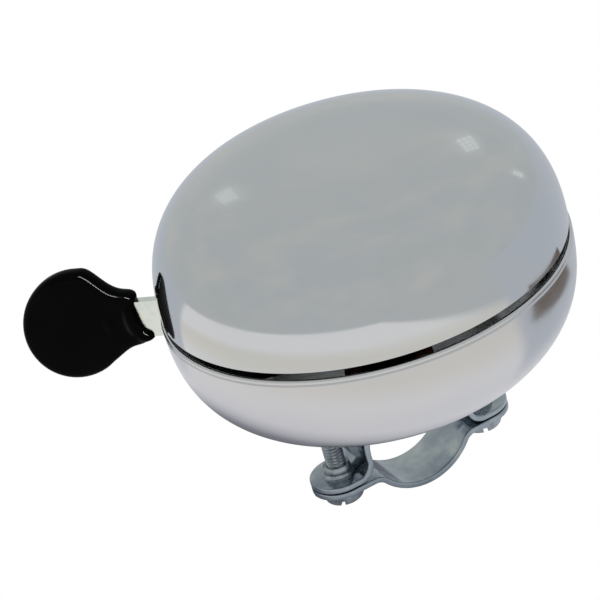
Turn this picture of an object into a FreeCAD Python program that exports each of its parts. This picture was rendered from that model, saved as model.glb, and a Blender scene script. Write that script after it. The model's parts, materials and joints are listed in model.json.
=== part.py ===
import FreeCAD, Part
import math
import os
import re
import Sketcher

# Two-tone bicycle bell on a handlebar clamp.
# Frame: origin at the centre of the handlebar bore, +X along the bar, +Z up the bell's axis.

SIZES = [
    ("bar_radius", 11.1, "radius of a 22.2 mm handlebar"),
    ("strap_thick", 1.2, "clamp sheet"),
    ("strap_width", 12.0, "clamp width along the bar"),
    ("parting_height", -5.18, "height of the joint between the clamp halves"),
    ("parting_gap", 0.3, "gap between the clamp tabs"),
    ("bend_radius", 2.5, "inside radius of the clamp's bends"),
    ("screw_offset", 16.5, "clamp screw distance from the bell axis"),
    ("tab_round", 6.0, "radius of a tab's round end"),
    ("screw_radius", 2.0, "M4 clamp screw"),
    ("screw_length", 16.0, "clamp screw under its head"),
    ("screw_play", 0.3, "clamp screw in the lower strap's hole"),
    ("screw_head_radius", 4.0, "pan head"),
    ("screw_head_height", 3.4, "pan head"),
    ("screw_head_round", 1.0, "pan head's rounded edge"),
    ("screw_tip", 0.5, "chamfer on the screw's tip"),
    ("slot_width", 1.0, "screwdriver slot"),
    ("slot_depth", 1.2, "screwdriver slot"),
    ("collar_outer", 2.65, "tapped collar drawn up from the saddle's tab"),
    ("collar_tall", 2.3, "tapped collar above the tab"),
    ("collar_flare", 0.5, "curve at the collar's foot"),
    ("rim_height", 37.5, "height of the upper gong's rim"),
    ("sheet", 1.0, "gong sheet"),
    ("upper_radius", 40.0, "upper gong, outside"),
    ("upper_crown", 25.75, "upper gong, rim to crown"),
    ("upper_shoulder", 3.22, "superellipse power across"),
    ("upper_rise", 2.41, "superellipse power upward"),
    ("rim_gap", 1.3, "gap between the two rims"),
    ("lower_radius", 40.33, "lower gong, outside"),
    ("lower_bowl", 26.4, "depth that the lower gong's curve aims at"),
    ("lower_shoulder", 2.80, "superellipse power across"),
    ("lower_rise", 2.71, "superellipse power downward"),
    ("bell_turn", 10.9, "gongs and mechanism turned about the stud from the clamp, degrees"),
    ("notch_start", 210.5, "lever notch, first edge, degrees"),
    ("notch_end", 229.6, "lever notch, last edge, degrees"),
    ("notch_depth", 8.7, "lever notch below the lower rim"),
    ("stud_radius", 3.0, "M6 centre stud"),
    ("stud_foot_radius", 4.0, "flush riveted foot"),
    ("stud_foot_thick", 0.9, "flush riveted foot"),
    ("stud_neck_radius", 2.5, "M5 top thread"),
    ("stud_neck_start", 47.0, "height of the stud's shoulder"),
    ("stud_top", 60.2, "height of the stud's top"),
    ("stud_chamfer", 0.6, "stud's top edge"),
    ("boss_radius", 6.0, "threaded boss under the crown"),
    ("boss_tall", 8.0, "threaded boss"),
    ("boss_gap", 0.2, "solder between the boss and the crown"),
    ("locknut_corner", 5.2, "locknut under the boss, centre to corner"),
    ("locknut_tall", 3.0, "locknut under the boss"),
    ("washer_radius", 9.0, "fibre washer"),
    ("washer_thick", 0.8, "fibre washer"),
    ("lock_radius", 5.6, "spring lock washer"),
    ("lock_thick", 1.4, "spring lock washer"),
    ("lock_split", 0.8, "spring lock washer's gap"),
    ("nut_corner", 5.77, "M6 nut, centre to corner"),
    ("nut_thick", 4.8, "M6 nut"),
    ("spacer_radius", 5.0, "tube under the mechanism plate"),
    ("spacer_thick", 4.4, "tube under the mechanism plate"),
    ("plate_thick", 1.5, "mechanism plate"),
    ("plate_round", 4.0, "mechanism plate's corners"),
    ("pivot_across", -14.0, "lever pivot"),
    ("pivot_along", -19.5, "lever pivot"),
    ("pivot_radius", 2.0, "lever pivot pin"),
    ("pivot_shoulder", 3.5, "pin's shoulder under the lever"),
    ("pivot_top", 34.2, "height of the pin's top"),
    ("pivot_clip_low", 33.2, "underside of the pivot's clip"),
    ("turn_play", 0.05, "running clearance on a radius"),
    ("clearance", 0.3, "clearance between moving faces"),
    ("lever_angle", 215.4, "direction of the lever at rest, degrees"),
    ("lever_base_height", 27.1, "underside of the lever's flat part"),
    ("lever_thick", 1.5, "lever's flat part"),
    ("strip_thick", 1.8, "lever's upright strip"),
    ("strip_low", 28.9, "bottom of the strip outside the bell"),
    ("strip_top", 36.9, "top of the strip"),
    ("strip_start", 9.0, "start of the strip from the pivot"),
    ("foot_end", 12.5, "end of the lever's flat part from the pivot"),
    ("foot_side", 5.6, "flat part beside the strip"),
    ("lever_hub_radius", 6.2, "lever round its pivot"),
    ("paddle_reach", 37.4, "paddle centre from the pivot"),
    ("paddle_radius", 9.9, "metal disc inside the paddle"),
    ("coat_radius", 10.8, "dipped paddle"),
    ("coat_thick", 3.8, "dipped paddle, through the disc"),
    ("neck_start", 21.8, "start of the dipping from the pivot"),
    ("neck_tall", 11.2, "dipped neck"),
    ("paddle_height", 32.0, "paddle centre"),
    ("tooth_size", 1.0, "gear module"),
    ("pinion_teeth", 12, "pinion"),
    ("sector_teeth", 36, "lever gear, if it went all round"),
    ("sector_cut", 6, "teeth cut on the lever"),
    ("tooth_slack", 0.18, "backlash"),
    ("pressure", 25.0, "pressure angle, degrees"),
    ("pinion_low", 26.5, "underside of the pinion"),
    ("pinion_thick", 2.7, "pinion"),
    ("hub_radius", 4.5, "pinion hub through the arm"),
    ("hub_rise", 1.0, "pinion hub above the arm"),
    ("arm_low", 29.5, "underside of the striker arm"),
    ("arm_thick", 1.2, "striker arm"),
    ("arm_reach", 24.0, "striker pin circle"),
    ("arm_half_width", 3.6, "striker arm"),
    ("arm_eye", 7.5, "striker arm round the hub"),
    ("upper_rest_angle", 275.0, "upper striker at rest, degrees"),
    ("striker_radius", 7.6, "loose striker disc"),
    ("striker_hole", 3.1, "loose striker disc"),
    ("striker_thick", 3.0, "loose striker disc"),
    ("striker_round", 0.8, "striker disc's rounded edge"),
    ("pin_radius", 2.0, "striker pin"),
    ("pin_end", 0.5, "striker pin above its clip"),
    ("collar_radius", 3.0, "upper striker pin's collar"),
    ("upper_striker_low", 40.2, "underside of the upper striker"),
    ("clip_thick", 0.7, "retaining clips"),
    ("clip_radius", 3.9, "striker pin clips"),
    ("pivot_clip_radius", 4.0, "lever pivot's clip"),
    ("rotor_clip_radius", 5.2, "stud's clip over the rotor"),
    ("nib_radius", 1.8, "strike nib"),
    ("nib_reach", 31.3, "strike nib's inner end from the axis"),
    ("upper_nib_angle", 9.5, "degrees"),
    ("lower_nib_angle", 75.5, "degrees"),
    ("spring_radius", 3.9, "return spring coil, to the wire's middle"),
    ("wire_radius", 0.4, "return spring wire"),
    ("spring_low", 29.4, "middle of the lowest turn"),
    ("spring_pitch", 0.95, "coil pitch"),
    ("spring_turns", 2.25, "coil turns"),
    ("spring_aim", 47.4, "turns the coil until its upper leg lies on the strip, degrees"),
    ("spring_low_leg", 12.0, "leg on the anchor post"),
    ("spring_high_leg", 11.0, "leg on the lever's strip"),
    ("anchor_across", -5.3, "spring's anchor post"),
    ("anchor_along", -24.4, "spring's anchor post"),
    ("anchor_radius", 1.2, "spring's anchor post"),
    ("anchor_foot", 2.2, "anchor post's foot, radius"),
    ("anchor_foot_tall", 0.6, "anchor post's foot"),
    ("anchor_top", 31.6, "height of the anchor post's top"),
    ("stop_across", -19.8, "lever's rest stop"),
    ("stop_along", -26.9, "lever's rest stop"),
    ("stop_radius", 1.5, "lever's rest stop"),
    ("stop_top", 30.4, "height of the rest stop's top"),
]
NAMES = {name for name, size, note in SIZES}

# the mechanism plate's corners, before it is turned with the bell
PLATE = [
    ("10", "4"), ("2", "10"), ("-10", "8"), ("-25", "-13"),
    ("-26", "-24"), ("-17", "-34"), ("-6", "-32"), ("8", "-12"),
]

# how close two lengths are to count as the same
NEAR = 0.05

# the two clamp screws
SCREWS = {"near": "-screw_offset", "far": "screw_offset"}

doc = FreeCAD.newDocument("bicycle_bell")
sheet = doc.addObject("Spreadsheet::Sheet", "Sizes")
for row, (name, size, note) in enumerate(SIZES, start=1):
    sheet.set(f"A{row}", note)
    sheet.set(f"B{row}", str(size))
    sheet.setAlias(f"B{row}", name)
doc.recompute()

nodes = []


def on_sheet(text):
    """An expression with each size name pointed at its cell."""
    return re.sub(r"[a-z_]+", lambda m: "Sizes." + m[0] if m[0] in NAMES else m[0], text)


def value(text):
    """The present value of an expression."""
    return float(sheet.evalExpression(on_sheet(text)))


def bind(item, **sizes):
    for prop, text in sizes.items():
        item.setExpression(prop, on_sheet(text))


def place(item, across="0", along="0", up="0", turn=None):
    """Put an item at a point bound to the sheet, turned about +Z by an angle in degrees."""
    for axis, text in zip("xyz", (across, along, up)):
        item.setExpression(f"Placement.Base.{axis}", on_sheet(text))
    if turn is not None:
        item.Placement.Rotation = FreeCAD.Rotation(FreeCAD.Vector(0, 0, 1), value(turn))
        item.setExpression("Placement.Rotation.Angle", on_sheet(f"({turn}) * 1 deg"))


def place_in_bell(item, across="0", along="0", up="0", turn="0"):
    """As place(), with the point and the angle turned with the bell."""
    cosine = "cos(bell_turn * 1 deg)"
    sine = "sin(bell_turn * 1 deg)"
    turned_across = f"({across}) * {cosine} - ({along}) * {sine}"
    turned_along = f"({across}) * {sine} + ({along}) * {cosine}"
    place(item, turned_across, turned_along, up, f"{turn} + bell_turn")


def node(item, name):
    """Keep an item as the sub-part of this name."""
    item.Label = name
    nodes.append(item)
    return item


# ---- sketched bodies ----

def new_body(name):
    return doc.addObject("PartDesign::Body", name + "_body")


def new_sketch(body, plane, name):
    sketch = body.newObject("Sketcher::SketchObject", name)
    support = next(f for f in body.Origin.OriginFeatures if f.Role == plane)
    sketch.AttachmentSupport = [(support, "")]
    sketch.MapMode = "FlatFace"
    return sketch


def constrain(sketch, kind, *where, size=None):
    if size is None:
        sketch.addConstraint(Sketcher.Constraint(kind, *where))
        return
    number = sketch.addConstraint(Sketcher.Constraint(kind, *where, value(size)))
    if re.search("[a-z]", size):
        sketch.setExpression(f"Constraints[{number}]", on_sheet(size))


def add_outline(sketch, corners, arcs=None):
    """A closed outline. arcs: edge number -> (radius, centre across, centre up, counter-clockwise)."""
    arcs = arcs or {}
    points = [FreeCAD.Vector(value(a), value(b), 0) for a, b in corners]
    ends = []
    for i, start in enumerate(points):
        finish = points[(i + 1) % len(points)]
        if i not in arcs:
            number = sketch.addGeometry(Part.LineSegment(start, finish))
            ends.append((number, 1, 2))
            continue
        radius, across, up, turns_left = arcs[i]
        centre = FreeCAD.Vector(value(across), value(up), 0)
        first, last = (start, finish) if turns_left else (finish, start)
        angles = [math.atan2(p.y - centre.y, p.x - centre.x) for p in (first, last)]
        circle = Part.Circle(centre, FreeCAD.Vector(0, 0, 1), value(radius))
        number = sketch.addGeometry(Part.ArcOfCircle(circle, *angles))
        # its ends are fixed below, so one coordinate of the centre settles the arc
        if abs(finish.x - start.x) >= abs(finish.y - start.y):
            constrain(sketch, "DistanceY", -1, 1, number, 3, size=up)
        else:
            constrain(sketch, "DistanceX", -1, 1, number, 3, size=across)
        ends.append((number, 1, 2) if turns_left else (number, 2, 1))
    for i, (a, b) in enumerate(corners):
        number, start, finish = ends[i]
        before, _, last = ends[i - 1]
        constrain(sketch, "Coincident", before, last, number, start)
        constrain(sketch, "DistanceX", -1, 1, number, start, size=a)
        constrain(sketch, "DistanceY", -1, 1, number, start, size=b)


def add_circle(sketch, across, up, radius):
    centre = FreeCAD.Vector(value(across), value(up), 0)
    number = sketch.addGeometry(Part.Circle(centre, FreeCAD.Vector(0, 0, 1), value(radius)))
    constrain(sketch, "Radius", number, size=radius)
    constrain(sketch, "DistanceX", -1, 1, number, 3, size=across)
    constrain(sketch, "DistanceY", -1, 1, number, 3, size=up)


def turned(name, corners, arcs=None):
    """A body turned about its own Z axis from a half outline (radius, height)."""
    body = new_body(name)
    sketch = new_sketch(body, "XZ_Plane", name + "_half")
    add_outline(sketch, corners, arcs)
    turn = body.newObject("PartDesign::Revolution", name + "_turn")
    turn.Profile = sketch
    turn.ReferenceAxis = (sketch, ["V_Axis"])
    turn.Angle = 360
    body.Tip = turn
    return body


def ring(name, outer, inner, low, thick):
    corners = [(inner, low), (outer, low), (outer, f"{low} + {thick}"), (inner, f"{low} + {thick}")]
    return turned(name, corners)


def pad(body, sketch, name, length, both_ways=False):
    item = body.newObject("PartDesign::Pad", name)
    item.Profile = sketch
    item.Midplane = both_ways
    bind(item, Length=length)
    body.Tip = item
    doc.recompute()
    return item


def pocket(body, sketch, name, length, upward):
    """A pocket that must remove metal."""
    before = body.Shape.Volume
    item = body.newObject("PartDesign::Pocket", name)
    item.Profile = sketch
    item.Reversed = upward
    bind(item, Length=length)
    body.Tip = item
    doc.recompute()
    if body.Shape.Volume > before - NEAR:
        raise RuntimeError(f"{name} cut nothing")
    return item


def round_edges(body, name, radius, across, along):
    """Fillet the tip's straight upright edges whose middles lie at these distances from the axes."""
    picked = []
    for i, edge in enumerate(body.Tip.Shape.Edges, start=1):
        middle = edge.CenterOfMass
        away = max(abs(abs(middle.x) - across), abs(abs(middle.y) - along))
        if isinstance(edge.Curve, Part.Line) and away < NEAR:
            picked.append(f"Edge{i}")
    fillet(body, name, radius, picked)


def round_corners(body, name, radius):
    """Fillet every upright edge of the body's tip."""
    picked = []
    for i, edge in enumerate(body.Tip.Shape.Edges, start=1):
        if isinstance(edge.Curve, Part.Line) and abs(edge.tangentAt(edge.FirstParameter).z) > 1 - NEAR:
            picked.append(f"Edge{i}")
    fillet(body, name, radius, picked)


def fillet(body, name, radius, picked):
    if not picked:
        raise RuntimeError(f"{name} found no edges")
    base = body.Tip
    item = body.newObject("PartDesign::Fillet", name)
    item.Base = (base, picked)
    bind(item, Radius=radius)
    body.Tip = item
    doc.recompute()


# ---- primitives ----

def cylinder(name, radius, tall, across="0", along="0", up="0"):
    item = doc.addObject("Part::Cylinder", name)
    bind(item, Radius=radius, Height=tall)
    place(item, across, along, up)
    return item


def box(name, long, wide, tall, across="0", along="0", up="0"):
    item = doc.addObject("Part::Box", name)
    bind(item, Length=long, Width=wide, Height=tall)
    place(item, across, along, up)
    return item


def fuse(name, *shapes):
    item = doc.addObject("Part::MultiFuse", name)
    item.Shapes = list(shapes)
    item.Refine = True
    return item


def cut(name, base, tool):
    item = doc.addObject("Part::Cut", name)
    item.Base = base
    item.Tool = tool
    return item


def hexagon_nut(name, corner, hole, low, thick):
    """A hexagon nut on the bell's axis."""
    block = doc.addObject("Part::Prism", name + "_block")
    block.Polygon = 6
    bind(block, Circumradius=corner, Height=thick)
    place(block, up=low)
    bore = cylinder(name + "_bore", hole, f"{thick} + 2", up=f"{low} - 1")
    return node(cut(name + "_nut", block, bore), name)


# ---- gongs ----

def gong_curve(radius, depth, across_power, up_power, last):
    """Points and inward normals of a superellipse from its rim (height 0) to the given height."""
    steps = 12
    points = []
    normals = []
    for i in range(steps + 1):
        # a sine spacing keeps the points close where the wall turns fastest
        height = last * math.sin(math.pi / 2 * i / steps)
        share = min(1.0, (height / depth) ** up_power)
        across = radius * (1 - share) ** (1 / across_power)
        slope_up = up_power / depth * (height / depth) ** (up_power - 1)
        slope_across = across_power / radius * (across / radius) ** (across_power - 1)
        size = math.hypot(slope_up, slope_across)
        points.append(FreeCAD.Vector(across, 0, height))
        normals.append(FreeCAD.Vector(-slope_across / size, 0, -slope_up / size))
    return points, normals


def smooth(points):
    curve = Part.BSplineCurve()
    curve.interpolate(points)
    return curve.toShape()


def spin(edges):
    """The solid turned about +Z by a closed outline in the XZ plane."""
    face = Part.Face(Part.Wire(edges))
    return face.revolve(FreeCAD.Vector(0, 0, 0), FreeCAD.Vector(0, 0, 1), 360)


def segment(first, last):
    return Part.LineSegment(first, last).toShape()


def feature(name, shape):
    item = doc.addObject("Part::Feature", name)
    item.Shape = shape
    return item


def make_upper_gong():
    crown = value("upper_crown")
    thick = value("sheet")
    shoulder = value("upper_shoulder")
    outer, normals = gong_curve(value("upper_radius"), crown, shoulder, value("upper_rise"), crown)
    inner = [point + normal * thick for point, normal in zip(outer, normals)]
    axis_top = FreeCAD.Vector(0, 0, crown)
    axis_low = FreeCAD.Vector(0, 0, crown - thick)
    outer[-1] = axis_top
    inner[-1] = axis_low
    inner[0] = FreeCAD.Vector(value("upper_radius - sheet"), 0, 0)
    inside = smooth(inner)
    shell = spin([smooth(outer), segment(axis_top, axis_low), inside, segment(inner[0], outer[0])])
    hollow = spin([inside, segment(axis_low, FreeCAD.Vector()), segment(FreeCAD.Vector(), inner[0])])
    gong = feature("upper_gong_shell", shell)
    place(gong, up="rim_height")
    room = feature("upper_gong_hollow", hollow)
    place(room, up="rim_height")
    return node(gong, "upper_gong"), room


def make_lower_gong():
    """The bowl hangs down from its rim, is cut flat at the seat, and has the lever's notch in its wall."""
    thick = value("sheet")
    rim = value("rim_height - rim_gap")
    seat = rim - value("bar_radius + strap_thick")
    outer, normals = gong_curve(
        value("lower_radius"), value("lower_bowl"), value("lower_shoulder"), value("lower_rise"), seat)
    inner = [point + normal * thick for point, normal in zip(outer, normals)]
    inner[0] = FreeCAD.Vector(value("lower_radius - sheet"), 0, 0)
    # the inner curve ends where it meets the seat's inner face
    inner = [point for point in inner if point.z < seat - thick - value("clearance")]
    inner.append(FreeCAD.Vector(outer[-1].x - value("clearance"), 0, seat - thick))
    hole = value("stud_radius + turn_play * 2")
    seat_out = FreeCAD.Vector(hole, 0, seat)
    seat_in = FreeCAD.Vector(hole, 0, seat - thick)
    inside = smooth(inner)
    shell = spin([smooth(outer), segment(outer[-1], seat_out), segment(seat_out, seat_in),
                  segment(seat_in, inner[-1]), inside, segment(inner[0], outer[0])])
    middle_low = FreeCAD.Vector(0, 0, seat - thick)
    hollow = spin([inside, segment(inner[-1], middle_low), segment(middle_low, FreeCAD.Vector()),
                   segment(FreeCAD.Vector(), inner[0])])
    sweep = value("notch_end - notch_start")
    over = value("rim_gap")
    wedge = Part.makeCylinder(value("lower_radius + sheet"), value("notch_depth") + over,
                              FreeCAD.Vector(0, 0, -over), FreeCAD.Vector(0, 0, 1), sweep)
    # turned upside down below, so the notch's angle is mirrored here
    wedge.rotate(FreeCAD.Vector(), FreeCAD.Vector(0, 0, 1), -value("notch_end + bell_turn"))
    gong = feature("lower_gong_shell", shell.cut(wedge))
    room = feature("lower_gong_hollow", hollow)
    for item in (gong, room):
        item.Placement = FreeCAD.Placement(
            FreeCAD.Vector(0, 0, rim), FreeCAD.Rotation(FreeCAD.Vector(1, 0, 0), 180))
    return node(gong, "lower_gong"), room


def make_nib(name, room, angle, up):
    """A steel nib on a gong's inner wall, pointing at the axis, its tail trimmed to the wall's curve."""
    rod = doc.addObject("Part::Cylinder", name + "_rod")
    bind(rod, Radius="nib_radius", Height="upper_radius - nib_reach")
    turn = FreeCAD.Rotation(FreeCAD.Vector(0, 0, 1), value(f"{angle} + bell_turn"))
    rod.Placement.Rotation = turn.multiply(FreeCAD.Rotation(FreeCAD.Vector(0, 1, 0), 90))
    around = f"({angle} + bell_turn) * 1 deg"
    place(rod, f"nib_reach * cos({around})", f"nib_reach * sin({around})", up)
    nib = doc.addObject("Part::Common", name + "_trimmed")
    nib.Base = rod
    nib.Tool = room
    return node(nib, name)


# ---- clamp ----

def half_clamp(name, side, face):
    """A sheet bent over half of the bore, with a tab each way.

    side is 1 over the bar and -1 under it, and face is the height of the tabs' parting face."""
    back = f"({face} + {side} * strap_thick)"
    outer = "(bar_radius + strap_thick)"
    reach = "(bar_radius + strap_thick + bend_radius)"
    bend_up = f"({back} + {side} * bend_radius)"
    bend_across = f"sqrt({reach} ^ 2 - {bend_up} ^ 2)"
    tip = "(screw_offset + tab_round)"

    def meets(radius):
        """Where the bend runs into a circle about the bore."""
        return f"{bend_across} * {radius} / {reach}", f"{bend_up} * {radius} / {reach}"

    def mirrored(points):
        return [(f"-({across})", up) for across, up in reversed(points)]

    back_side = [(tip, back), (bend_across, back), meets(outer)]
    face_side = [meets("bar_radius"), (bend_across, face), (tip, face)]
    corners = back_side + mirrored(back_side) + mirrored(face_side) + face_side
    over = side > 0
    arcs = {
        1: ("bend_radius", bend_across, bend_up, not over),
        2: (outer, "0", "0", over),
        3: ("bend_radius", f"-{bend_across}", bend_up, not over),
        7: ("bend_radius + strap_thick", f"-{bend_across}", bend_up, over),
        8: ("bar_radius", "0", "0", not over),
        9: ("bend_radius + strap_thick", bend_across, bend_up, over),
    }
    body = new_body(name)
    sketch = new_sketch(body, "YZ_Plane", name + "_outline")
    add_outline(sketch, corners, arcs)
    pad(body, sketch, name + "_pad", "strap_width", both_ways=True)
    round_edges(body, name + "_tab_ends", "tab_round - turn_play", value("strap_width / 2"), value(tip))
    return body


def screw_holes(body, name, radius):
    holes = new_sketch(body, "XY_Plane", name)
    for along in SCREWS.values():
        add_circle(holes, "0", along, radius)
    pocket(body, holes, name + "_pocket", "bar_radius", upward=False)


def make_saddle(stud_seat):
    """The upper half, with a tapped collar drawn up round each screw."""
    face = "(parting_height + parting_gap / 2)"
    hole = "screw_radius + turn_play"
    body = half_clamp("saddle", 1, face)
    screw_holes(body, "saddle_holes", hole)
    tab = f"({face} + strap_thick)"
    top = f"{tab} + collar_tall"
    corners = [
        (hole, tab), ("collar_outer + collar_flare", tab), ("collar_outer", f"{tab} + collar_flare"),
        ("collar_outer", top), (hole, top),
    ]
    arcs = {1: ("collar_flare", "collar_outer + collar_flare", f"{tab} + collar_flare", False)}
    collars = []
    for side, along in SCREWS.items():
        collar = turned(f"collar_{side}", corners, arcs)
        place(collar, along=along)
        collars.append(collar)
    bracket = fuse("saddle_with_collars", body, *collars)
    return node(cut("saddle_pierced", bracket, stud_seat), "saddle_bracket")


def make_strap():
    body = half_clamp("strap", -1, "(parting_height - parting_gap / 2)")
    screw_holes(body, "strap_holes", "screw_radius + screw_play")
    return node(body, "clamp_strap")


def make_screws():
    """Two slotted pan-head screws, heads down, tips up towards the bell."""
    seat = "(parting_height - parting_gap / 2 - strap_thick)"
    bottom = f"({seat} - screw_head_height)"
    top = f"({seat} + screw_length)"
    flat = "screw_head_radius - screw_head_round"
    corners = [
        ("0", bottom), (flat, bottom), ("screw_head_radius", f"{bottom} + screw_head_round"),
        ("screw_head_radius", seat), ("screw_radius", seat), ("screw_radius", f"{top} - screw_tip"),
        ("screw_radius - screw_tip", top), ("0", top),
    ]
    arcs = {1: ("screw_head_round", flat, f"{bottom} + screw_head_round", True)}
    screws = []
    for side, along in SCREWS.items():
        blank = turned(f"screw_{side}", corners, arcs)
        slot = box(f"screw_slot_{side}", "screw_head_radius * 3", "slot_width", "slot_depth * 2",
                   "-screw_head_radius * 1.5", "-slot_width / 2", f"{bottom} - slot_depth")
        screw = cut(f"screw_cut_{side}", blank, slot)
        place(screw, along=along)
        screws.append(screw)
    group = doc.addObject("Part::Compound", "screw_pair")
    group.Links = screws
    return node(group, "clamp_screws")


FOOT_HEIGHT = "(bar_radius + turn_play)"


def make_stud():
    """Centre stud: flush foot riveted in the saddle, journal for the rotor, thread for the upper gong."""
    neck = "stud_neck_start + stud_radius - stud_neck_radius"
    corners = [
        ("0", FOOT_HEIGHT), ("stud_foot_radius", FOOT_HEIGHT),
        ("stud_radius", f"{FOOT_HEIGHT} + stud_foot_thick"), ("stud_radius", "stud_neck_start"),
        ("stud_neck_radius", neck), ("stud_neck_radius", "stud_top - stud_chamfer"),
        ("stud_neck_radius - stud_chamfer", "stud_top"), ("0", "stud_top"),
    ]
    return node(turned("stud", corners), "centre_stud")


def make_stud_seat():
    """The countersunk hole in the saddle that the stud's foot fills."""
    below = "bar_radius / 2"
    above = "bar_radius + strap_thick * 2"
    return turned("stud_seat", [
        ("0", below), ("stud_foot_radius", below), ("stud_foot_radius", FOOT_HEIGHT),
        ("stud_radius", f"{FOOT_HEIGHT} + stud_foot_thick"), ("stud_radius", above), ("0", above),
    ])


# ---- mechanism ----

def make_stack():
    """Washer, lock washer, nut and spacer that hold the lower gong and carry the mechanism plate."""
    hole = "stud_radius + turn_play"
    low = "(bar_radius + strap_thick + sheet)"
    node(ring("fibre", "washer_radius", hole, low, "washer_thick"), "fibre_washer")
    low = f"({low} + washer_thick)"
    split = box("lock_split_gap", "lock_radius * 2", "lock_split", "lock_thick * 3", "0", "-lock_split / 2",
                f"{low} - lock_thick")
    node(cut("lock_open", ring("lock", "lock_radius", hole, low, "lock_thick"), split), "lock_washer")
    low = f"({low} + lock_thick)"
    hexagon_nut("gong_nut", "nut_corner", hole, low, "nut_thick")
    low = f"({low} + nut_thick)"
    node(ring("spacer", "spacer_radius", hole, low, "spacer_thick"), "plate_spacer")
    return f"({low} + spacer_thick)"


def make_plate(low):
    body = new_body("plate")
    sketch = new_sketch(body, "XY_Plane", "plate_outline")
    add_outline(sketch, PLATE)
    pad(body, sketch, "plate_pad", "plate_thick")
    round_corners(body, "plate_corners", "plate_round")
    holes = new_sketch(body, "XY_Plane", "plate_holes")
    add_circle(holes, "0", "0", "stud_radius + turn_play")
    pocket(body, holes, "plate_stud_hole", "plate_thick * 2", upward=True)
    place_in_bell(body, up=low)
    return node(body, "mechanism_plate")


def make_pivot(plate_top):
    """Riveted pivot pin with a shoulder under the lever and a clip above the spring."""
    pivot = ("pivot_across", "pivot_along")
    shoulder_top = "lever_base_height - clearance"
    pin = turned("pivot", [
        ("0", plate_top), ("pivot_shoulder", plate_top), ("pivot_shoulder", shoulder_top),
        ("pivot_radius", shoulder_top), ("pivot_radius", "pivot_top"), ("0", "pivot_top"),
    ])
    place_in_bell(pin, *pivot)
    node(pin, "lever_pivot_pin")
    clip = ring("pivot_ring", "pivot_clip_radius", "pivot_radius", "pivot_clip_low", "clip_thick")
    place_in_bell(clip, *pivot)
    node(clip, "pivot_clip")


def make_posts(plate_top):
    """The spring's anchor and the lever's rest stop, riveted to the plate."""
    foot_top = f"{plate_top} + anchor_foot_tall"
    anchor = turned("anchor", [
        ("0", plate_top), ("anchor_foot", plate_top), ("anchor_foot", foot_top), ("anchor_radius", foot_top),
        ("anchor_radius", "anchor_top"), ("0", "anchor_top"),
    ])
    place_in_bell(anchor, "anchor_across", "anchor_along")
    node(anchor, "spring_post")
    stop = turned("stop", [
        ("0", plate_top), ("stop_radius", plate_top), ("stop_radius", "stop_top"), ("0", "stop_top"),
    ])
    place_in_bell(stop, "stop_across", "stop_along")
    node(stop, "lever_stop")


def tooth_half_angle(radius, teeth):
    """Half the angle of an involute tooth at a radius, in radians."""
    pitch = value("tooth_size") * teeth / 2
    lean = math.radians(value("pressure"))
    base = pitch * math.cos(lean)
    at_pitch = (math.pi * value("tooth_size") / 2 - value("tooth_slack")) / 2 / pitch
    here = math.acos(min(1.0, base / radius))
    return at_pitch + math.tan(lean) - lean - math.tan(here) + here


def gear_outline(teeth, first, count, middle):
    """Corner points of gear teeth in order, each flank in four steps. middle: angle of tooth 0, radians."""
    size = value("tooth_size")
    pitch = size * teeth / 2
    root = pitch - 1.05 * size
    tip = pitch + 0.8 * size
    flank = [root, pitch - 0.4 * size, pitch, (pitch + tip) / 2, tip]
    points = []
    for i in range(first, first + count):
        centre = middle + 2 * math.pi * i / teeth
        rising = [(r, centre - tooth_half_angle(r, teeth)) for r in flank]
        falling = [(r, centre + tooth_half_angle(r, teeth)) for r in reversed(flank)]
        points += rising + falling
    return [FreeCAD.Vector(r * math.cos(a), r * math.sin(a), 0) for r, a in points]


def slab(points, low, thick):
    wire = Part.makePolygon(points + [points[0]])
    prism = Part.Face(wire).extrude(FreeCAD.Vector(0, 0, thick))
    prism.translate(FreeCAD.Vector(0, 0, low))
    return prism


def make_pinion():
    """Twelve-tooth pinion with a hub that carries the striker arm, loose on the stud."""
    teeth = int(value("pinion_teeth"))
    low = value("pinion_low")
    towards_lever = math.atan2(value("pivot_along"), value("pivot_across"))
    # a tooth space faces the lever's middle tooth
    points = gear_outline(teeth, 0, teeth, towards_lever + math.pi / teeth)
    blank = slab(points, low, value("pinion_thick"))
    tall = value("arm_low + arm_thick + hub_rise") - low
    base = FreeCAD.Vector(0, 0, low)
    hub = Part.makeCylinder(value("hub_radius"), tall, base)
    bore = Part.makeCylinder(value("stud_radius + turn_play"), tall, base)
    gear = feature("pinion", blank.fuse(hub).cut(bore).removeSplitter())
    place_in_bell(gear)
    return node(gear, "rotor_pinion")


def upright_disc(name, radius, thick):
    """A disc on the lever's strip, across the paddle's centre."""
    disc = cylinder(name, radius, thick)
    disc.Placement.Rotation = FreeCAD.Rotation(FreeCAD.Vector(1, 0, 0), 90)
    place(disc, "paddle_reach", f"{thick} / 2", "paddle_height")
    return disc


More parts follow.
